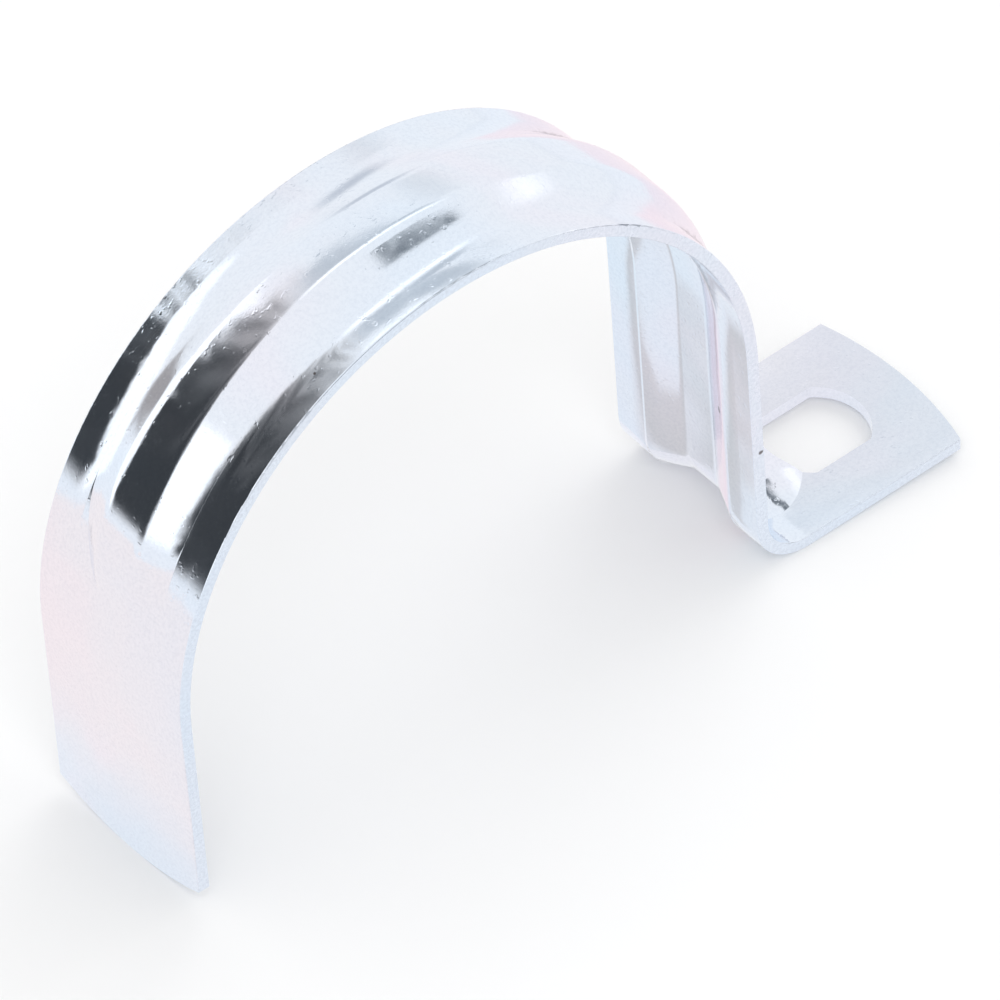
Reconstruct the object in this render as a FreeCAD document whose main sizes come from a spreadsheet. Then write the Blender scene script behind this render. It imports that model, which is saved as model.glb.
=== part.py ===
import FreeCAD, Part
import os
from math import acos, asin, atan2, cos, radians, sin, tan

import Sketcher
from FreeCAD import Placement, Rotation, Vector

# One-hole strap for 2 inch rigid conduit, pressed and bent from one strip of zinc-plated steel.
# X runs from the free leg towards the foot, Y across the strip, Z away from the wall.
# The origin is on the axis of the saddle, at the middle of the strip's width.

# Driving sizes, in millimetres and degrees.
SIZES = {
    "conduit_diameter": 60.3,
    "seat_clearance": 0.4,       # gap between conduit and saddle, on the radius
    "sheet": 1.2,                # thickness of the strip
    "strip_width": 18.7,
    "saddle_angle": 62.3,        # from the top of the saddle to each shoulder
    "shoulder_step": 0.5,        # how much tighter the shoulders' radius is than the saddle's
    "axis_height": 24.0,         # from the wall to the saddle's axis
    "free_lean": 4.45,           # free leg, inwards from upright
    "foot_lean": 3.45,           # foot's leg, outwards from upright
    "foot_rise": 2.5,            # foot, away from the wall towards its tip until it is screwed down
    "free_bow": 1.85,            # rise of the arc that ends the free leg
    "rib_height": 1.5,
    "rib_width": 11.4,           # between the creases at the rib's base
    "rib_crest": 4.5,            # between the corners of its crest, before they are rounded
    "groove_round": 1.6,         # inside radius of those corners
    "rib_elbow": 2.9,            # radius of the crest where it turns on to the foot
    "rib_end_angle": 60.8,       # from the top of the saddle to where the rib begins to sink
    "saddle_fade": 16.0,         # radius of the rib's line as it sinks beside the free leg
    "foot_fade": 8.5,            # the same on the foot
    "fade_cover": 0.15,          # how far below the surface the sunk crest ends
    "slot_reach": 12.7,          # from the back of the leg to the slot's centre
    "slot_length": 10.2,
    "slot_width": 8.2,
    "foot_land": 10.0,           # from the slot's centre to the tip of the foot
    "foot_bow": 1.3,             # rise of the arc that ends the foot
    "edge_round": 0.15,          # radius left on the sheared edges
    "spare": 1.0,                # stock outside the finished outline, which the cuts remove
}

# Sizes that follow from the driving ones, as expressions for the document.
SEAT_RADIUS = "(Sizes.conduit_diameter / 2 + Sizes.seat_clearance)"
BACK_RADIUS = f"({SEAT_RADIUS} + Sizes.sheet)"
SHOULDER_BACK = f"({BACK_RADIUS} - Sizes.shoulder_step)"
ELBOW = "(Sizes.rib_elbow + Sizes.rib_height)"
FOOT_TOP = "(Sizes.axis_height - Sizes.sheet)"
SUNK = "(Sizes.rib_height + Sizes.fade_cover)"
FLANK = "atan(2 * Sizes.rib_height / (Sizes.rib_width - Sizes.rib_crest))"
HALF_WIDTH = "(Sizes.strip_width / 2)"

# Distances along X: from the saddle's axis to the back of the leg at the level of the foot, to the
# slot's centre and to the tip of the foot.
LEG_BACK = (
    f"((Sizes.shoulder_step * sin(Sizes.saddle_angle + Sizes.foot_lean) + {SHOULDER_BACK}"
    f" + {FOOT_TOP} * sin(Sizes.foot_lean)) / cos(Sizes.foot_lean))"
)
SLOT_CENTRE = f"({LEG_BACK} + Sizes.slot_reach)"
FOOT_TIP = f"({SLOT_CENTRE} + Sizes.foot_land)"

# How a constraint names a sketch's own origin and axes.
ORIGIN = (-1, 1)
ALONG = -1
UPRIGHT = -2

doc = FreeCAD.newDocument("conduit_strap")

sheet = doc.addObject("Spreadsheet::Sheet", "Sizes")
for row, (name, size) in enumerate(SIZES.items(), start=1):
    sheet.set(f"A{row}", name)
    sheet.set(f"B{row}", str(size))
    sheet.setAlias(f"B{row}", name)
doc.recompute()

body = doc.addObject("PartDesign::Body", "strap")
body.Label = "strap"


def number(expression):
    """The value that an expression has with the present sizes."""
    value = sheet.evalExpression(expression)
    return getattr(value, "Value", value)


def sketch_on(plane, name, turn=0.0):
    """A new sketch on one of the body's origin planes, turned in it by an angle in degrees."""
    sketch = body.newObject("Sketcher::SketchObject", name)
    support = next(item for item in body.Origin.OriginFeatures if item.Role == plane)
    sketch.AttachmentSupport = [(support, "")]
    sketch.MapMode = "FlatFace"
    sketch.AttachmentOffset = Placement(Vector(), Rotation(Vector(0, 0, 1), turn))
    return sketch


def line(sketch, start, end):
    return sketch.addGeometry(Part.LineSegment(start, end), False)


def arc(sketch, centre, radius, start, end):
    """An arc that runs anticlockwise between two angles in radians."""
    circle = Part.Circle(centre, Vector(0, 0, 1), radius)
    return sketch.addGeometry(Part.ArcOfCircle(circle, start, end), False)


def towards(angle):
    """The direction at an angle in radians."""
    return Vector(cos(angle), sin(angle))


def tie(sketch, kind, *places):
    sketch.addConstraint(Sketcher.Constraint(kind, *places))


def measure(sketch, kind, *places, size):
    """A dimension that an expression drives."""
    value = number(size)
    if kind == "Angle":
        value = radians(value)
    index = sketch.addConstraint(Sketcher.Constraint(kind, *places, value))
    sketch.setExpression(f"Constraints[{index}]", size)


def ray(sketch, end, angle):
    """A construction line from the origin, at an angle that an expression gives."""
    made = sketch.addGeometry(Part.LineSegment(Vector(), end), True)
    tie(sketch, "Coincident", made, 1, *ORIGIN)
    measure(sketch, "Angle", made, size=angle)
    return made


def join(sketch, *ends):
    """Joins the end of each line or arc in turn to the start of the next, and the last to the first."""
    for here, there in zip(ends, ends[1:] + ends[:1]):
        tie(sketch, "Coincident", here, 2, there, 1)


class BentLine:
    """Places along the strip's side view, on the face with a given saddle radius."""

    def __init__(self, radius, elbow, drop):
        half_arc = radians(number("Sizes.saddle_angle"))
        offset = number("Sizes.shoulder_step")
        shoulder = radius - offset
        self.radius = radius
        self.shoulder = shoulder
        self.foot_lean = radians(number("Sizes.foot_lean"))
        self.free_lean = radians(number("Sizes.free_lean"))
        self.saddle_start = radians(90) - half_arc
        self.saddle_end = radians(90) + half_arc
        self.foot_shoulder = towards(self.saddle_start) * offset
        self.free_shoulder = towards(self.saddle_end) * offset
        self.leg_start = self.foot_shoulder + towards(self.foot_lean) * shoulder
        self.free_start = self.free_shoulder - towards(self.free_lean) * shoulder
        self.foot_rise = radians(number("Sizes.foot_rise"))
        level = elbow - drop
        reach = self.leg_start.dot(towards(self.foot_lean)) + elbow
        self.elbow_centre = Vector((reach - level * sin(self.foot_lean)) / cos(self.foot_lean), level)
        self.elbow_start = self.elbow_centre - towards(self.foot_lean) * elbow
        self.elbow_end = self.elbow_centre + Vector(sin(self.foot_rise), -cos(self.foot_rise)) * elbow

    def free_leg_at(self, level):
        """Where the free leg's face meets a level."""
        fall = self.free_start.y - level
        return Vector(self.free_start.x + fall * tan(self.free_lean), level)


def saddle_to_elbow(sketch, places, radius, elbow, drop, end):
    """Draws the saddle, its shoulder, the foot's leg and the elbow. The saddle ends at an angle."""
    saddle = arc(sketch, Vector(), places.radius, places.saddle_start, end)
    shoulder = arc(sketch, places.foot_shoulder, places.shoulder, places.foot_lean, places.saddle_start)
    leg = line(sketch, places.leg_start, places.elbow_start)
    turned = radians(180) + places.foot_lean
    flat = radians(270) + places.foot_rise
    bend = arc(sketch, places.elbow_centre, number(elbow), turned, flat)
    start = ray(sketch, towards(places.saddle_start) * places.radius, "90 - Sizes.saddle_angle")
    tie(sketch, "Coincident", saddle, 3, *ORIGIN)
    tie(sketch, "Coincident", start, 2, saddle, 1)
    tie(sketch, "Tangent", saddle, 1, shoulder, 2)
    tie(sketch, "Tangent", shoulder, 1, leg, 1)
    tie(sketch, "Tangent", leg, 2, bend, 1)
    measure(sketch, "Radius", saddle, size=radius)
    measure(sketch, "Radius", shoulder, size=f"{radius} - Sizes.shoulder_step")
    measure(sketch, "Radius", bend, size=elbow)
    measure(sketch, "Angle", leg, size="Sizes.foot_lean - 90")
    measure(sketch, "DistanceY", bend, 3, *ORIGIN, size=f"{drop} - {elbow}")
    return saddle, bend


def side_view(name, radius, elbow, drop, margin):
    """One face of the strip in side view, closed below the wall and past the tip of the foot."""
    sketch = sketch_on("XZ_Plane", name)
    places = BentLine(number(radius), number(elbow), number(drop))
    floor = -number(f"Sizes.axis_height + {margin}")
    tip = number(f"{FOOT_TIP} + {margin}")
    foot_end = Vector(tip, places.elbow_end.y + (tip - places.elbow_end.x) * tan(places.foot_rise))
    leg_bottom = places.free_leg_at(floor)
    upright = radians(180) + places.free_lean

    saddle, bend = saddle_to_elbow(sketch, places, radius, elbow, drop, places.saddle_end)
    shoulder = arc(sketch, places.free_shoulder, places.shoulder, places.saddle_end, upright)
    free = line(sketch, leg_bottom, places.free_start)
    foot = line(sketch, places.elbow_end, foot_end)
    end = line(sketch, foot_end, Vector(tip, floor))
    base = line(sketch, Vector(tip, floor), leg_bottom)
    finish = ray(sketch, towards(places.saddle_end) * places.radius, "90 + Sizes.saddle_angle")
    tie(sketch, "Coincident", finish, 2, saddle, 2)
    tie(sketch, "Tangent", saddle, 2, shoulder, 1)
    tie(sketch, "Tangent", shoulder, 2, free, 2)
    tie(sketch, "Tangent", bend, 2, foot, 1)
    tie(sketch, "Coincident", foot, 2, end, 1)
    tie(sketch, "Coincident", end, 2, base, 1)
    tie(sketch, "Coincident", base, 2, free, 1)
    tie(sketch, "Vertical", end)
    tie(sketch, "Horizontal", base)
    measure(sketch, "Radius", shoulder, size=f"{radius} - Sizes.shoulder_step")
    measure(sketch, "Angle", free, size="Sizes.free_lean + 90")
    measure(sketch, "Angle", foot, size="Sizes.foot_rise")
    measure(sketch, "DistanceY", base, 1, *ORIGIN, size=f"Sizes.axis_height + {margin}")
    measure(sketch, "DistanceX", *ORIGIN, foot, 2, size=f"{FOOT_TIP} + {margin}")
    return sketch


def saddle_fade(sketch, places, saddle, turn):
    """The rib's line from an angle on the saddle to where it is sunk below the free shoulder."""
    fade = number("Sizes.saddle_fade")
    centre = towards(turn) * (places.radius - fade)
    gap = places.free_shoulder - centre
    reach = places.shoulder - number(SUNK)
    swing = acos((fade**2 + gap.Length**2 - reach**2) / (2 * fade * gap.Length))
    faded = atan2(gap.y, gap.x) + swing
    if faded < turn:
        faded += radians(360)
    fading = arc(sketch, centre, fade, turn, faded)
    start = ray(sketch, towards(turn) * places.radius, "90 + Sizes.rib_end_angle")
    heart = ray(sketch, places.free_shoulder, "90 + Sizes.saddle_angle")
    tie(sketch, "Coincident", start, 2, saddle, 2)
    tie(sketch, "Tangent", saddle, 2, fading, 1)
    measure(sketch, "Distance", heart, 1, heart, 2, size="Sizes.shoulder_step")
    measure(sketch, "Radius", fading, size="Sizes.saddle_fade")
    measure(sketch, "Distance", fading, 2, heart, 2, size=f"{SHOULDER_BACK} - {SUNK}")


def foot_fade(sketch, places, bend):
    """The rib's line from the elbow to where it is sunk below the foot's upper face."""
    fade = number("Sizes.foot_fade")
    swing = acos(1 - number(SUNK) / fade)
    square = radians(90) + places.foot_rise
    centre = places.elbow_end - towards(square) * fade
    fading = arc(sketch, centre, fade, square - swing, square)
    spoke = sketch.addGeometry(Part.LineSegment(centre, places.elbow_end), True)
    tie(sketch, "Coincident", spoke, 1, fading, 3)
    tie(sketch, "Coincident", spoke, 2, fading, 2)
    tie(sketch, "Tangent", bend, 2, fading, 2)
    measure(sketch, "Radius", fading, size="Sizes.foot_fade")
    measure(sketch, "Angle", spoke, size="Sizes.foot_rise + 90")
    measure(sketch, "Angle", fading, size=f"acos(1 - {SUNK} / Sizes.foot_fade)")


def rib_line():
    """The line that the rib follows on the strip's back, sinking into it at both ends."""
    sketch = sketch_on("XZ_Plane", "rib_line")
    places = BentLine(number(BACK_RADIUS), number(ELBOW), number(FOOT_TOP))
    turn = radians(90 + number("Sizes.rib_end_angle"))
    saddle, bend = saddle_to_elbow(sketch, places, BACK_RADIUS, ELBOW, FOOT_TOP, turn)
    saddle_fade(sketch, places, saddle, turn)
    foot_fade(sketch, places, bend)
    return sketch


def rib_section(name, level, half_width, corner, root):
    """Cross-section of the rib over a surface at a given level, reaching down into it by root."""
    sketch = sketch_on("YZ_Plane", name)
    height = number("Sizes.rib_height")
    flank = radians(number(FLANK))
    radius = number(corner)
    crest = number(level) + height
    bottom = number(level) - number(root)
    foot = number(half_width) + number(root) / tan(flank)
    crest_end = number(half_width) - height / tan(flank) - radius * tan(flank / 2)
    centre = Vector(crest_end, crest - radius)
    flank_end = centre + Vector(sin(flank), cos(flank)) * radius

    base = line(sketch, Vector(-foot, bottom), Vector(foot, bottom))
    right = line(sketch, Vector(foot, bottom), flank_end)
    right_corner = arc(sketch, centre, radius, radians(90) - flank, radians(90))
    top = line(sketch, Vector(crest_end, crest), Vector(-crest_end, crest))
    mirrored = Vector(-centre.x, centre.y)
    left_corner = arc(sketch, mirrored, radius, radians(90), radians(90) + flank)
    left = line(sketch, Vector(-flank_end.x, flank_end.y), Vector(-foot, bottom))
    crease = sketch.addGeometry(Part.Point(Vector(number(half_width), number(level))), True)

    tie(sketch, "Coincident", base, 2, right, 1)
    tie(sketch, "Tangent", right, 2, right_corner, 1)
    tie(sketch, "Tangent", right_corner, 2, top, 1)
    tie(sketch, "Tangent", top, 2, left_corner, 1)
    tie(sketch, "Tangent", left_corner, 2, left, 1)
    tie(sketch, "Coincident", left, 2, base, 1)
    tie(sketch, "Symmetric", base, 1, base, 2, UPRIGHT)
    tie(sketch, "Symmetric", right_corner, 3, left_corner, 3, UPRIGHT)
    tie(sketch, "Equal", right_corner, left_corner)
    tie(sketch, "PointOnObject", crease, 1, right)
    measure(sketch, "Radius", right_corner, size=corner)
    measure(sketch, "Angle", right, size=f"180 deg - {FLANK}")
    measure(sketch, "DistanceX", *ORIGIN, crease, 1, size=half_width)
    measure(sketch, "DistanceY", *ORIGIN, crease, 1, size=level)
    measure(sketch, "DistanceY", *ORIGIN, top, 1, size=f"{level} + Sizes.rib_height")
    measure(sketch, "DistanceY", *ORIGIN, base, 2, size=f"{level} - {root}")
    return sketch


def bowed_end(name, plane, turn, tip, bow):
    """Waste beyond an end of the strip, bounded by an arc across it. The tip lies along the sketch's x."""
    sketch = sketch_on(plane, name, turn)
    radius = f"(({HALF_WIDTH}^2 + {bow}^2) / (2 * {bow}))"
    side = f"{HALF_WIDTH} + Sizes.spare"
    reach = f"{tip} + 2 * Sizes.spare"
    half = number(side)
    swing = asin(half / number(radius))
    centre = Vector(number(tip) - number(radius), 0)
    start = centre + Vector(cos(swing), -sin(swing)) * number(radius)
    end = Vector(start.x, half)
    far_low = Vector(number(reach), -half)
    far_high = Vector(number(reach), half)

    bowed = arc(sketch, centre, number(radius), -swing, swing)
    high = line(sketch, end, far_high)
    far = line(sketch, far_high, far_low)
    low = line(sketch, far_low, start)
    join(sketch, bowed, high, far, low)
    tie(sketch, "PointOnObject", bowed, 3, ALONG)
    tie(sketch, "Horizontal", high)
    tie(sketch, "Horizontal", low)
    tie(sketch, "Symmetric", far, 1, far, 2, ALONG)
    measure(sketch, "Radius", bowed, size=radius)
    measure(sketch, "DistanceX", bowed, 3, *ORIGIN, size=f"{radius} - {tip}")
    measure(sketch, "DistanceX", *ORIGIN, far, 1, size=reach)
    measure(sketch, "DistanceY", *ORIGIN, far, 1, size=side)
    return sketch


def slot_outline():
    """The fixing slot: a circle with two flats along the foot."""
    sketch = sketch_on("XY_Plane", "slot_outline")
    radius = number("Sizes.slot_length / 2")
    half = number("Sizes.slot_width / 2")
    swing = asin(half / radius)
    centre = Vector(number(SLOT_CENTRE), 0)
    half_flat = radius * cos(swing)
    right = arc(sketch, centre, radius, -swing, swing)
    high = line(sketch, centre + Vector(half_flat, half), centre + Vector(-half_flat, half))
    left = arc(sketch, centre, radius, radians(180) - swing, radians(180) + swing)
    low = line(sketch, centre + Vector(-half_flat, -half), centre + Vector(half_flat, -half))
    join(sketch, right, high, left, low)
    tie(sketch, "PointOnObject", right, 3, ALONG)
    tie(sketch, "Coincident", right, 3, left, 3)
    tie(sketch, "Equal", right, left)
    tie(sketch, "Horizontal", high)
    tie(sketch, "Horizontal", low)
    measure(sketch, "Radius", right, size="Sizes.slot_length / 2")
    measure(sketch, "DistanceX", *ORIGIN, right, 3, size=SLOT_CENTRE)
    measure(sketch, "DistanceY", *ORIGIN, high, 1, size="Sizes.slot_width / 2")
    measure(sketch, "DistanceY", low, 1, *ORIGIN, size="Sizes.slot_width / 2")
    return sketch


def feature(kind, name, sketch):
    """A PartDesign feature made from a sketch."""
    made = body.newObject(f"PartDesign::{kind}", name)
    made.Profile = sketch
    sketch.Visibility = False
    return made


def cut_through(name, sketch, both_ways=False):
    made = feature("Pocket", name, sketch)
    made.Type = "ThroughAll"
    made.Midplane = both_ways
    return made


def pipe(kind, name, section, spine):
    """A section carried along a line in the side view."""
    made = feature(kind, name, section)
    made.Spine = (spine, [])
    made.Mode = "Standard"
    return made


# The stock between the strip's back and the wall, before the inside is taken out.
blank = feature("Pad", "blank", side_view("back_view", BACK_RADIUS, ELBOW, FOOT_TOP, "Sizes.spare"))
blank.Midplane = True
blank.setExpression("Length", "Sizes.strip_width")

spine = rib_line()
rib = pipe(
    "AdditivePipe",
    "rib",
    rib_section(
        "rib_section",
        BACK_RADIUS,
        "Sizes.rib_width / 2",
        "(Sizes.groove_round + Sizes.sheet)",
        "Sizes.sheet / 2",
    ),
    spine,
)

inside = cut_through(
    "inside",
    side_view(
        "seat_view",
        SEAT_RADIUS,
        f"({ELBOW} + Sizes.sheet)",
        "Sizes.axis_height",
        "2 * Sizes.spare",
    ),
    both_ways=True,
)

groove = pipe(
    "SubtractivePipe",
    "groove",
    rib_section(
        "groove_section",
        SEAT_RADIUS,
        f"(Sizes.rib_width / 2 - Sizes.sheet * tan({FLANK} / 2))",
        "Sizes.groove_round",
        "Sizes.spare",
    ),
    spine,
)

free_end = cut_through(
    "free_end",
    bowed_end("free_end_waste", "YZ_Plane", -90, "Sizes.axis_height", "Sizes.free_bow"),
)
foot_end = cut_through(
    "foot_end",
    bowed_end("foot_end_waste", "XY_Plane", 0, FOOT_TIP, "Sizes.foot_bow"),
)
slot = cut_through("slot", slot_outline())
doc.recompute()


def on_sides(edge):
    """True for an edge that lies on one of the strip's two long sheared sides."""
    box = edge.BoundBox
    level = abs(box.YMax - box.YMin) < 1e-4
    return level and abs(abs(box.YMin) - number(HALF_WIDTH)) < 1e-4


rounds = body.newObject("PartDesign::Fillet", "edge_rounds")
side_edges = [f"Edge{n}" for n, edge in enumerate(slot.Shape.Edges, start=1) if on_sides(edge)]
rounds.Base = (slot, side_edges)
rounds.setExpression("Radius", "Sizes.edge_round")
doc.recompute()

for item in doc.Objects:
    if "Invalid" in item.State or "Error" in item.State:
        raise RuntimeError(f"{item.Label} failed: {item.getStatusString()}")
    if item.isDerivedFrom("Sketcher::SketchObject") and not item.FullyConstrained:
        raise RuntimeError(f"{item.Label} isn't fully constrained")

steps = [blank, rib, inside, groove, free_end, foot_end, slot, rounds]
for before, after in zip(steps, steps[1:]):
    gain = after.Shape.Volume - before.Shape.Volume
    if (gain > 0) != (after is rib):
        raise RuntimeError(f"{after.Label} changed the volume by {gain:.3f}")

if body.Shape.isNull() or not body.Shape.isValid() or len(body.Shape.Solids) != 1:
    raise RuntimeError("the strap isn't one valid solid")

os.makedirs("parts", exist_ok=True)
body.Shape.exportStep(f"parts/{body.Label}.step")
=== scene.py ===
import math

import bpy
from mathutils import Matrix, Vector


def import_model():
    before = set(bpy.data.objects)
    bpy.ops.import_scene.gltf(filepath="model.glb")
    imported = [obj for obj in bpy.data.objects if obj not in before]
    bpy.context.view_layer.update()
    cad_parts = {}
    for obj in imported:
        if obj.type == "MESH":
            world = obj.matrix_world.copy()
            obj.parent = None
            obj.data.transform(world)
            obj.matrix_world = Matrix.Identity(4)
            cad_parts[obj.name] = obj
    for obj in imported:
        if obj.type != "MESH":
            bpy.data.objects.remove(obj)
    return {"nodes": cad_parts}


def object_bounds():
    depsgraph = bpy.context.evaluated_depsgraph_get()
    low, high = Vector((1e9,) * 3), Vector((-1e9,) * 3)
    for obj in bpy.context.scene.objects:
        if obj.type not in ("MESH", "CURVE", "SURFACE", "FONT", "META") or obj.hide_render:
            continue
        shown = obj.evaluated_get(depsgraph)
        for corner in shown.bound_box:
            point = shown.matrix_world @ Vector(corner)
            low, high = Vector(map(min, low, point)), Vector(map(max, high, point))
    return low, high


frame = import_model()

cad_box = [list(corner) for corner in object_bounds()]
strap = frame["nodes"]["strap"]
floor_level = Vector(cad_box[0]).z


# ---- node helpers -------------------------------------------------------------------------

class Tree:
    """A short way to write a node tree."""

    def __init__(self, owner):
        owner.use_nodes = True
        self.tree = owner.node_tree
        self.tree.nodes.clear()

    def node(self, kind, settings=None, **inputs):
        """A node with its settings, and its inputs by name with _ for a space."""
        made = self.tree.nodes.new(kind)
        for name, value in (settings or {}).items():
            setattr(made, name, value)
        for name, value in inputs.items():
            self.put(made, name.replace("_", " "), value)
        return made

    def put(self, node, name, value):
        """Sets an input, given by its name or its number, or links an output to it."""
        socket = node.inputs[int(name)] if name.isdigit() else node.inputs[name]
        if isinstance(value, bpy.types.NodeSocket):
            self.tree.links.new(value, socket)
        else:
            socket.default_value = value

    def fill(self, node, names, values):
        for name, value in zip(names, values):
            self.put(node, name, value)
        return node

    def math(self, operation, *values, clamp=False):
        made = self.node("ShaderNodeMath", {"operation": operation, "use_clamp": clamp})
        return self.fill(made, "012", values).outputs[0]

    def mix(self, factor, first, second, blend="MIX"):
        """A mix of two colours."""
        made = self.node("ShaderNodeMix", {"data_type": "RGBA", "blend_type": blend})
        return self.fill(made, "067", (factor, first, second)).outputs[2]

    def mix_values(self, factor, first, second):
        made = self.node("ShaderNodeMix", {"data_type": "FLOAT"})
        return self.fill(made, "023", (factor, first, second)).outputs[0]

    def mix_shaders(self, factor, first, second):
        made = self.node("ShaderNodeMixShader")
        return self.fill(made, "012", (factor, first.outputs[0], second.outputs[0])).outputs[0]

    def ramp(self, value, *stops):
        """A colour ramp. Each stop is a position and a grey or a colour."""
        made = self.node("ShaderNodeValToRGB")
        elements = made.color_ramp.elements
        while len(elements) < len(stops):
            elements.new(0.5)
        for element, (place, colour) in zip(elements, stops):
            element.position = place
            if isinstance(colour, (int, float)):
                colour = (colour, colour, colour)
            element.color = (*colour, 1.0)
        self.put(made, "0", value)
        return made.outputs[0]

    def noise(self, where, scale, detail=4.0, roughness=0.5, distortion=0.0):
        made = self.node("ShaderNodeTexNoise", Vector=where, Scale=scale, Detail=detail,
                         Roughness=roughness, Distortion=distortion)
        return made.outputs[0]

    def split(self, vector):
        made = self.node("ShaderNodeSeparateXYZ", Vector=vector)
        return made.outputs[0], made.outputs[1], made.outputs[2]

    def between(self, value, start, end):
        """0 at start and 1 at end, smooth and held beyond them."""
        made = self.node("ShaderNodeMapRange", {"interpolation_type": "SMOOTHSTEP"},
                         Value=value, From_Min=start, From_Max=end, To_Min=0.0, To_Max=1.0)
        return made.outputs[0]

    def band(self, value, rise, fall):
        """1 in a band that fades in over rise and out over fall, each a pair of values."""
        return self.math("MULTIPLY", self.between(value, *rise), self.between(value, *reversed(fall)))


# ---- camera: the photograph's viewing angle -------------------------------------------------

RIGHT = Vector((0.768275, -0.640105, -0.004350))
DOWN = Vector((-0.452133, -0.537830, -0.711558))
AHEAD = Vector((0.453132, 0.548639, -0.702614))
UNIT = 0.03035                  # metres in a unit of the three numbers below
AIM_RIGHT = 0.27721             # the picture's middle, seen from the conduit's axis
AIM_DOWN = 0.046616
DISTANCE = 60.0                 # far away, so the view is almost parallel
NUDGE = Vector((-0.000092, 0.0, 0.000267))      # in metres

camera = bpy.data.objects.new("camera", bpy.data.cameras.new("camera"))
bpy.context.scene.collection.objects.link(camera)
camera.data.sensor_width = 36.0
camera.data.lens = 777.0
camera.data.clip_start = 0.05
camera.data.clip_end = 30.0
place = (RIGHT * AIM_RIGHT + DOWN * AIM_DOWN - AHEAD * DISTANCE) * UNIT + NUDGE
axes = Matrix((RIGHT, -DOWN, -AHEAD)).transposed()
camera.matrix_world = Matrix.Translation(place) @ axes.to_4x4()
bpy.context.scene.camera = camera


# ---- bright zinc plate, all lengths in metres -------------------------------------------------

CREASE = 0.0057                 # from the strip's middle to the crease at the rib's base
CREASE_HALF = 0.0017            # half the width over which the crease is rounded
FLANK_SLOPE = 0.435             # slope of the rib's flank
RIB_STARTS = (0.006, 0.015)     # heights on the free side over which the rib rises
RIB_ENDS = (0.036, 0.0385)      # distances on the foot's side over which it sinks
ROLL_START = 0.0068             # from the strip's middle to where the front edge rolls down
ROLL = -17.0                    # drop of the rolled edge, per metre of squared distance
SHEARED = (0.00918, 0.00932)    # from the flat faces to the sheared edge
# The two bands across y of the painted pink reflection in the groove of the foot's leg.
PAINTED_REFLECTION_LEFT = (-0.0058, -0.0048)                # the pink stripe in the groove of the foot's leg
PAINTED_REFLECTION_RIGHT = (-0.0034, -0.0020)
LEG_FRONT = (0.026, 0.029)
LEG_BACK = (0.0345, 0.0355)
GRAIN_TINT = (0.60, 0.64, 0.72, 1.0)
# The pink of the painted reflection in the groove of the foot's leg.
PAINTED_REFLECTION_TINT = (0.92, 0.74, 0.83, 1.0)
SHEARED_TINT = (0.62, 0.66, 0.74, 1.0)
NICK_TINT = (0.10, 0.075, 0.07, 1.0)
NICKS = [                       # place and size of each small mark
    ((0.0316, -0.0043, -0.0078), 0.00042),
    ((0.0319, -0.0093, -0.0093), 0.00030),
    ((0.0496, -0.0034, -0.0226), 0.00032),
    ((-0.0302, -0.0075, 0.0012), 0.00022),
    ((-0.0150, -0.0072, 0.0279), 0.00020),
]


def is_outside(t, where):
    """1 on the faces that look away from the conduit's axis."""
    facing = t.node("ShaderNodeVectorMath", {"operation": "DOT_PRODUCT"})
    t.fill(facing, "01", (t.node("ShaderNodeNewGeometry").outputs["True Normal"], where))
    return t.math("GREATER_THAN", facing.outputs["Value"], 0.0)


def pressed_relief(t, where):
    """Relief that rounds the crease on each side of the rib and rolls the front edge down."""
    x, y, z = t.split(where)
    off = t.math("ABSOLUTE", t.math("SUBTRACT", t.math("ABSOLUTE", y), CREASE))
    near = t.math("MAXIMUM", t.math("SUBTRACT", CREASE_HALF, off), 0.0)
    fillet = t.math("MULTIPLY", t.math("MULTIPLY", near, near), FLANK_SLOPE / (4 * CREASE_HALF))
    on_foot_side = t.math("GREATER_THAN", x, 0.0)
    has_rib = t.mix_values(on_foot_side, t.between(z, *RIB_STARTS), t.between(x, *reversed(RIB_ENDS)))
    outwards = t.math("SUBTRACT", t.math("MULTIPLY", is_outside(t, where), 2.0), 1.0)
    rounding = t.math("MULTIPLY", t.math("MULTIPLY", fillet, has_rib), outwards)

    past = t.math("MAXIMUM", t.math("SUBTRACT", t.math("MULTIPLY", y, -1.0), ROLL_START), 0.0)
    rolled = t.math("MULTIPLY", t.math("MULTIPLY", past, past), ROLL)
    return t.math("ADD", rounding, t.math("MULTIPLY", rolled, outwards))


def nicks(t, where):
    """1 in the few small marks on the edges, the foot and the inside of the leg."""
    found = 0.0
    ragged = t.noise(where, 2500.0, detail=2.0)
    for place, size in NICKS:
        away = t.node("ShaderNodeVectorMath", {"operation": "DISTANCE"})
        t.fill(away, "01", (where, place))
        reach = t.math("ADD", away.outputs["Value"], t.math("MULTIPLY", ragged, size))
        found = t.math("MAXIMUM", found, t.between(reach, 1.5 * size, size))
    return found


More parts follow.
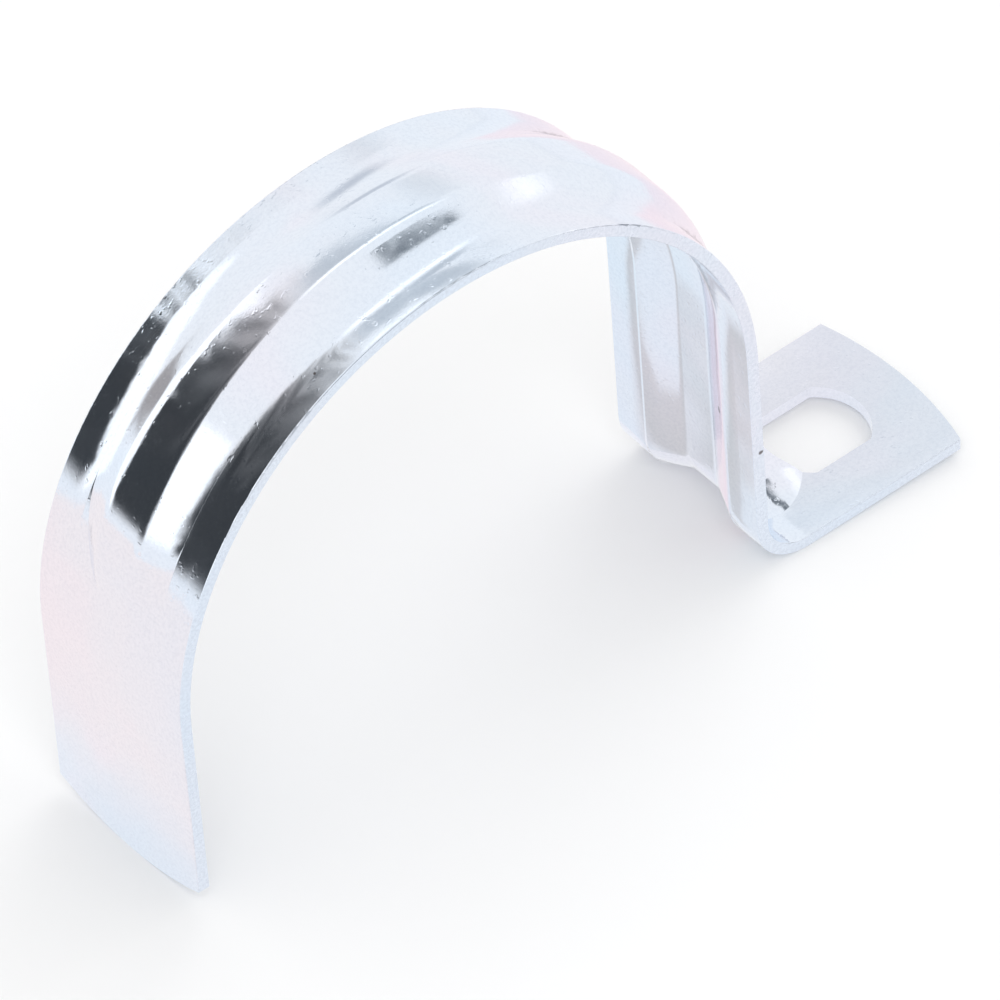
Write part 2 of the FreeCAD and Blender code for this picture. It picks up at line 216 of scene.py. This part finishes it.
def plate_colour(t, where, sheared):
    # Faint blue, lilac and straw casts of the passivation, in soft cloudy patches.
    cloud = t.noise(where, 42.0, detail=3.0, roughness=0.55, distortion=0.6)
    colour = t.ramp(cloud, (0.32, (0.79, 0.87, 0.97)), (0.50, (0.82, 0.87, 0.95)),
                    (0.62, (0.85, 0.86, 0.94)), (0.76, (0.87, 0.87, 0.92)))

    # Fine spangle: grains of slightly different brightness.
    grain = t.noise(where, 3000.0, detail=3.0, roughness=0.7)
    colour = t.mix(t.ramp(grain, (0.42, 0.0), (0.66, 0.16)), colour, GRAIN_TINT, "MULTIPLY")

    # Painted reflection: a pink stripe inside the groove of the foot's leg, standing in for a pink cast
    # that the leg reflects.
    x, y, _ = t.split(where)
    inside = t.math("SUBTRACT", 1.0, is_outside(t, where))
    painted_reflection = t.math("MULTIPLY", t.band(y, PAINTED_REFLECTION_LEFT, PAINTED_REFLECTION_RIGHT), inside)
    painted_reflection = t.math("MULTIPLY", painted_reflection, t.band(x, LEG_FRONT, LEG_BACK))
    colour = t.mix(t.math("MULTIPLY", painted_reflection, 0.90), colour, PAINTED_REFLECTION_TINT)

    # Duller sheared edges and a few dark nicks.
    dull = t.math("MULTIPLY", sheared, t.ramp(grain, (0.35, 0.0), (0.7, 0.35)))
    colour = t.mix(dull, colour, SHEARED_TINT)
    return t.mix(t.math("MULTIPLY", nicks(t, where), 0.85), colour, NICK_TINT)


def plate_normal(t, where):
    """The pressed relief, a slow swell in the sheet, and fine grain with a few pits."""
    fine = t.noise(where, 2200.0, detail=3.0, roughness=0.7)
    pits = t.ramp(t.noise(where, 1500.0, detail=2.0, roughness=0.5), (0.62, 0.0), (0.72, 1.0))
    grain = t.math("MULTIPLY_ADD", fine, 0.5, pits)
    swell = t.noise(where, 75.0, detail=2.0, roughness=0.45)
    bump = t.node("ShaderNodeBump", Strength=1.0, Distance=1.0, Height=pressed_relief(t, where))
    for strength, distance, height in ((0.55, 0.00035, swell), (0.24, 0.000022, grain)):
        bump = t.node("ShaderNodeBump", Strength=strength, Distance=distance, Height=height,
                      Normal=bump.outputs[0])
    return bump.outputs[0]


def zinc_plate():
    material = bpy.data.materials.new("bright_zinc_plate")
    t = Tree(material)
    where = t.node("ShaderNodeTexCoord").outputs["Object"]
    _, y, _ = t.split(where)
    sheared = t.between(t.math("ABSOLUTE", y), *SHEARED)
    rough = t.ramp(t.noise(where, 160.0, detail=4.0, roughness=0.6), (0.35, 0.07), (0.70, 0.15))
    rough = t.math("MULTIPLY_ADD", sheared, 0.16, rough)
    shader = t.node("ShaderNodeBsdfPrincipled", Base_Color=plate_colour(t, where, sheared),
                    Metallic=1.0, Roughness=rough, Normal=plate_normal(t, where))
    t.node("ShaderNodeOutputMaterial", Surface=shader.outputs[0])
    return material


strap.data.materials.clear()
strap.data.materials.append(zinc_plate())
for polygon in strap.data.polygons:
    polygon.use_smooth = True
weld = strap.modifiers.new("weld_seams", "WELD")
weld.merge_threshold = 0.000002
split = strap.modifiers.new("keep_creases", "EDGE_SPLIT")
split.split_angle = math.radians(14.0)
split.use_edge_sharp = False


# ---- studio ---------------------------------------------------------------------------------

X_AXIS = (1.0, 0.0, 0.0)
Y_AXIS = (0.0, 1.0, 0.0)
Z_AXIS = (0.0, 0.0, 1.0)
FLOOR_HALF = 3.0
FLOOR_GLOW = 0.75               # share of plain white in what polished surfaces see of the floor
WORLD_LIGHT = 0.97
ON_FLOOR = floor_level + 0.0003
ROOF = 0.60                     # height of the cards overhead

# Name, middle, along, up, half sizes, colour, share that fades, and scale of the mottle, 0 for none.
SOFT_CARDS = [
    ("left_window", (-0.36, -0.10, 0.13), Y_AXIS, Z_AXIS, (0.16, 0.17), (1.35, 1.35, 1.35), 0.35, 0.0),
    ("far_wall", (-0.06, 0.34, 0.01), X_AXIS, Z_AXIS, (0.12, 0.05), (0.42, 0.39, 0.38), 0.35, 0.0),
    ("right_window", (0.53, 0.0, 0.31), Y_AXIS, (-0.47, 0.0, 0.88),
     (0.14, 0.13), (1.22, 1.22, 1.21), 1.0, 0.0),
    ("roof_grey", (0.16, 0.330, ROOF), X_AXIS, Y_AXIS, (0.34, 0.050), (0.62, 0.65, 0.68), 0.5, 0.0),
    ("roof_light", (0.16, 0.235, ROOF), X_AXIS, Y_AXIS, (0.34, 0.035), (1.45, 1.45, 1.45), 0.5, 0.0),
    ("roof_dark", (0.27, -0.095, ROOF), X_AXIS, Y_AXIS, (0.19, 0.055), (0.14, 0.16, 0.18), 0.3, 26.0),
    ("foot_grey", (0.165, 0.165, 0.199), (0.815, -0.579, 0.0), (-0.428, -0.602, 0.674),
     (0.055, 0.050), (0.86, 0.87, 0.88), 1.0, 0.0),
    ("leg_cast", (-0.090, 0.035, ON_FLOOR), X_AXIS, Y_AXIS,
     (0.060, 0.060), (1.05, 0.95, 0.92), 0.12, 0.0),
    ("shoulder_cast", (0.105, 0.070, ON_FLOOR), X_AXIS, Y_AXIS,
     (0.08, 0.07), (1.02, 0.90, 0.93), 0.5, 0.0),
    ("front_wall", (0.02, -0.46, 0.11), X_AXIS, Z_AXIS, (0.30, 0.14), (0.24, 0.26, 0.29), 0.5, 0.0),
    ("right_wall", (0.47, -0.24, 0.08), (0.45, 0.89, 0.0), Z_AXIS,
     (0.16, 0.11), (0.34, 0.36, 0.39), 0.6, 0.0),
    ("back_wall", (0.21, 0.42, 0.20), (0.90, -0.44, 0.0), Z_AXIS,
     (0.10, 0.10), (0.66, 0.68, 0.72), 0.8, 0.0),
]


def seen_directly(t):
    """1 for a ray that comes straight from the camera, a polished surface or clear glass."""
    path = t.node("ShaderNodeLightPath")
    total = t.math("ADD", path.outputs["Is Camera Ray"], path.outputs["Is Glossy Ray"])
    return t.math("ADD", total, path.outputs["Is Transmission Ray"], clamp=True)


def sheet(name, across, height, level=0.0):
    """A flat sheet from its spans in x and y, and the node tree of its new material."""
    mesh = bpy.data.meshes.new(name)
    mesh.from_pydata([(across[0], height[0], level), (across[1], height[0], level),
                      (across[1], height[1], level), (across[0], height[1], level)], [], [(0, 1, 2, 3)])
    made = bpy.data.objects.new(name, mesh)
    bpy.context.scene.collection.objects.link(made)
    material = bpy.data.materials.new(name)
    mesh.materials.append(material)
    return made, Tree(material)


def floor():
    span = (-FLOOR_HALF, FLOOR_HALF)
    _, t = sheet("floor", span, span, floor_level)
    diffuse = t.node("ShaderNodeBsdfDiffuse", Color=(0.90, 0.90, 0.90, 1.0))
    white = t.node("ShaderNodeEmission", Color=(0.97, 0.98, 1.0, 1.0), Strength=1.0)
    glossy = t.node("ShaderNodeLightPath").outputs["Is Glossy Ray"]
    both = t.mix_shaders(t.math("MULTIPLY", glossy, FLOOR_GLOW), diffuse, white)
    t.node("ShaderNodeOutputMaterial", Surface=both)


def world():
    made = bpy.data.worlds.new("studio")
    bpy.context.scene.world = made
    t = Tree(made)
    light = t.node("ShaderNodeBackground", Color=(1.0, 1.0, 1.0, 1.0), Strength=WORLD_LIGHT)
    white = t.node("ShaderNodeBackground", Color=(1.0, 1.0, 1.0, 1.0), Strength=1.0)
    t.node("ShaderNodeOutputWorld", Surface=t.mix_shaders(seen_directly(t), light, white))


def lamp(name, place, target, size, power):
    """A soft light on the floor, which polished surfaces don't see."""
    data = bpy.data.lights.new(name, "AREA")
    data.shape = "RECTANGLE"
    data.size, data.size_y = size
    data.energy = power
    made = bpy.data.objects.new(name, data)
    bpy.context.scene.collection.objects.link(made)
    made.location = place
    made.rotation_euler = (Vector(target) - Vector(place)).to_track_quat("-Z", "Y").to_euler()
    made.visible_glossy = False


def card(name, origin, along, up, across, height):
    """A card that only polished surfaces see. Its own x runs along it and its own y up it."""
    made, t = sheet(name, across, height)
    along, up = Vector(along).normalized(), Vector(up).normalized()
    turn = Matrix((along, up, along.cross(up))).transposed()
    made.matrix_world = Matrix.Translation(origin) @ turn.to_4x4()
    made.visible_camera = False
    made.visible_diffuse = False
    made.visible_transmission = False
    made.visible_shadow = False
    return t, t.node("ShaderNodeTexCoord").outputs["Object"]


def shine(t, colour, cover):
    """Gives a card its light. Where cover is 0 it is clear."""
    light = t.node("ShaderNodeEmission", Color=colour, Strength=1.0)
    clear = t.node("ShaderNodeBsdfTransparent")
    t.node("ShaderNodeOutputMaterial", Surface=t.mix_shaders(cover, clear, light))


def soft_card(name, origin, along, up, half, colour, edge, mottle):
    """A card whose light fades over a share of its half size, and may be mottled."""
    t, where = card(name, origin, along, up, (-half[0], half[0]), (-half[1], half[1]))
    x, y, _ = t.split(where)
    fade_x = t.between(t.math("DIVIDE", t.math("ABSOLUTE", x), half[0]), 1.0, 1.0 - edge)
    fade_y = t.between(t.math("DIVIDE", t.math("ABSOLUTE", y), half[1]), 1.0, 1.0 - edge)
    cover = t.math("MULTIPLY", fade_x, fade_y)
    if mottle:
        spots = t.noise(where, mottle, detail=4.0, roughness=0.65)
        cover = t.math("MULTIPLY", cover, t.between(spots, 0.36, 0.52))
    shine(t, (*colour, 1.0), cover)


def window_card():
    """The dark side of the room beside a bright window, seen by the saddle's free side."""
    t, where = card("dark_card", Vector((-0.156, 0.108, 0.0)), (0.571, 0.821, 0.0), Z_AXIS,
                    (-0.26, 0.42), (floor_level + 0.0005, 0.56))
    s, z, _ = t.split(where)

    # u is the distance from a curved, ragged path that runs up the card.
    curve = t.math("MULTIPLY_ADD", z, -0.049, -0.012)
    path = t.math("MULTIPLY_ADD", t.math("MULTIPLY", z, z), 1.15, curve)
    ragged = t.math("MULTIPLY_ADD", t.noise(where, 26.0, detail=3.0, roughness=0.6), 0.07, -0.035)
    u = t.math("ADD", t.math("SUBTRACT", s, path), ragged)

    # The dark band fades out upwards in streaks.
    stretched = t.node("ShaderNodeMapping", Vector=where, Scale=(46.0, 7.0, 1.0)).outputs[0]
    streaks = t.noise(stretched, 1.0, detail=2.0)
    raised = t.math("ADD", z, t.math("MULTIPLY_ADD", streaks, 0.36, -0.18))
    upper = t.ramp(raised, (0.12, 1.0), (0.24, 0.85), (0.36, 0.45), (0.50, 0.0))
    lower = t.between(z, floor_level + 0.001, floor_level + 0.028)
    dark = t.band(u, (-0.125, -0.085), (0.022, 0.038))
    dark = t.math("MULTIPLY", dark, t.math("MULTIPLY", upper, lower))

    bright = t.band(u, (0.022, 0.038), (0.10, 0.14))
    bright = t.math("MULTIPLY", bright, t.between(z, 0.36, 0.24))
    colour = t.ramp(dark, (0.0, (1.0, 1.0, 1.0)), (0.45, (0.42, 0.39, 0.37)),
                    (0.85, (0.09, 0.09, 0.092)), (1.0, (0.05, 0.053, 0.057)))
    colour = t.mix(bright, colour, (1.30, 1.30, 1.30, 1.0))
    shine(t, colour, t.math("MAXIMUM", dark, bright))


def arch_card():
    """Painted shade of the floor under the arch, in stripes that lie as the inside of the foot's leg
    sees them.
    """
    right_edge = 0.031
    lean = 1.21                 # the stripes' rise in y for each step in x
    stripes = 50.0              # share of the ramp for each metre across the stripes
    t, where = card("arch_floor", Vector((0.0, 0.0, ON_FLOOR)), X_AXIS, Y_AXIS,
                    (-0.020, right_edge), (-0.010, 0.048))
    x, y, _ = t.split(where)
    strip_y = t.math("MULTIPLY_ADD", x, lean, t.math("SUBTRACT", y, lean * right_edge))
    across = t.math("MULTIPLY_ADD", strip_y, stripes, 0.5)
    # The grey stripes in the middle are painted shade under the arch, seen only in reflections.
    colour = t.ramp(across, (0.05, (0.92, 0.94, 0.97)), (0.22, (0.90, 0.91, 0.93)),
                    (0.30, (0.74, 0.72, 0.72)), (0.62, (0.68, 0.68, 0.68)),
                    (0.74, (0.82, 0.84, 0.86)), (0.95, (0.88, 0.94, 0.98)))
    shine(t, colour, 1.0)


floor()
world()
lamp("key", (-0.35, -0.45, 0.75), (0.01, 0.0, 0.0), (0.5, 0.4), 1.5)
lamp("fill", (0.6, 0.2, 0.6), (0.01, 0.0, 0.0), (0.6, 0.6), 0.9)
window_card()
for row in SOFT_CARDS:
    soft_card(*row)
arch_card()

bpy.context.scene.view_settings.view_transform = "Standard"
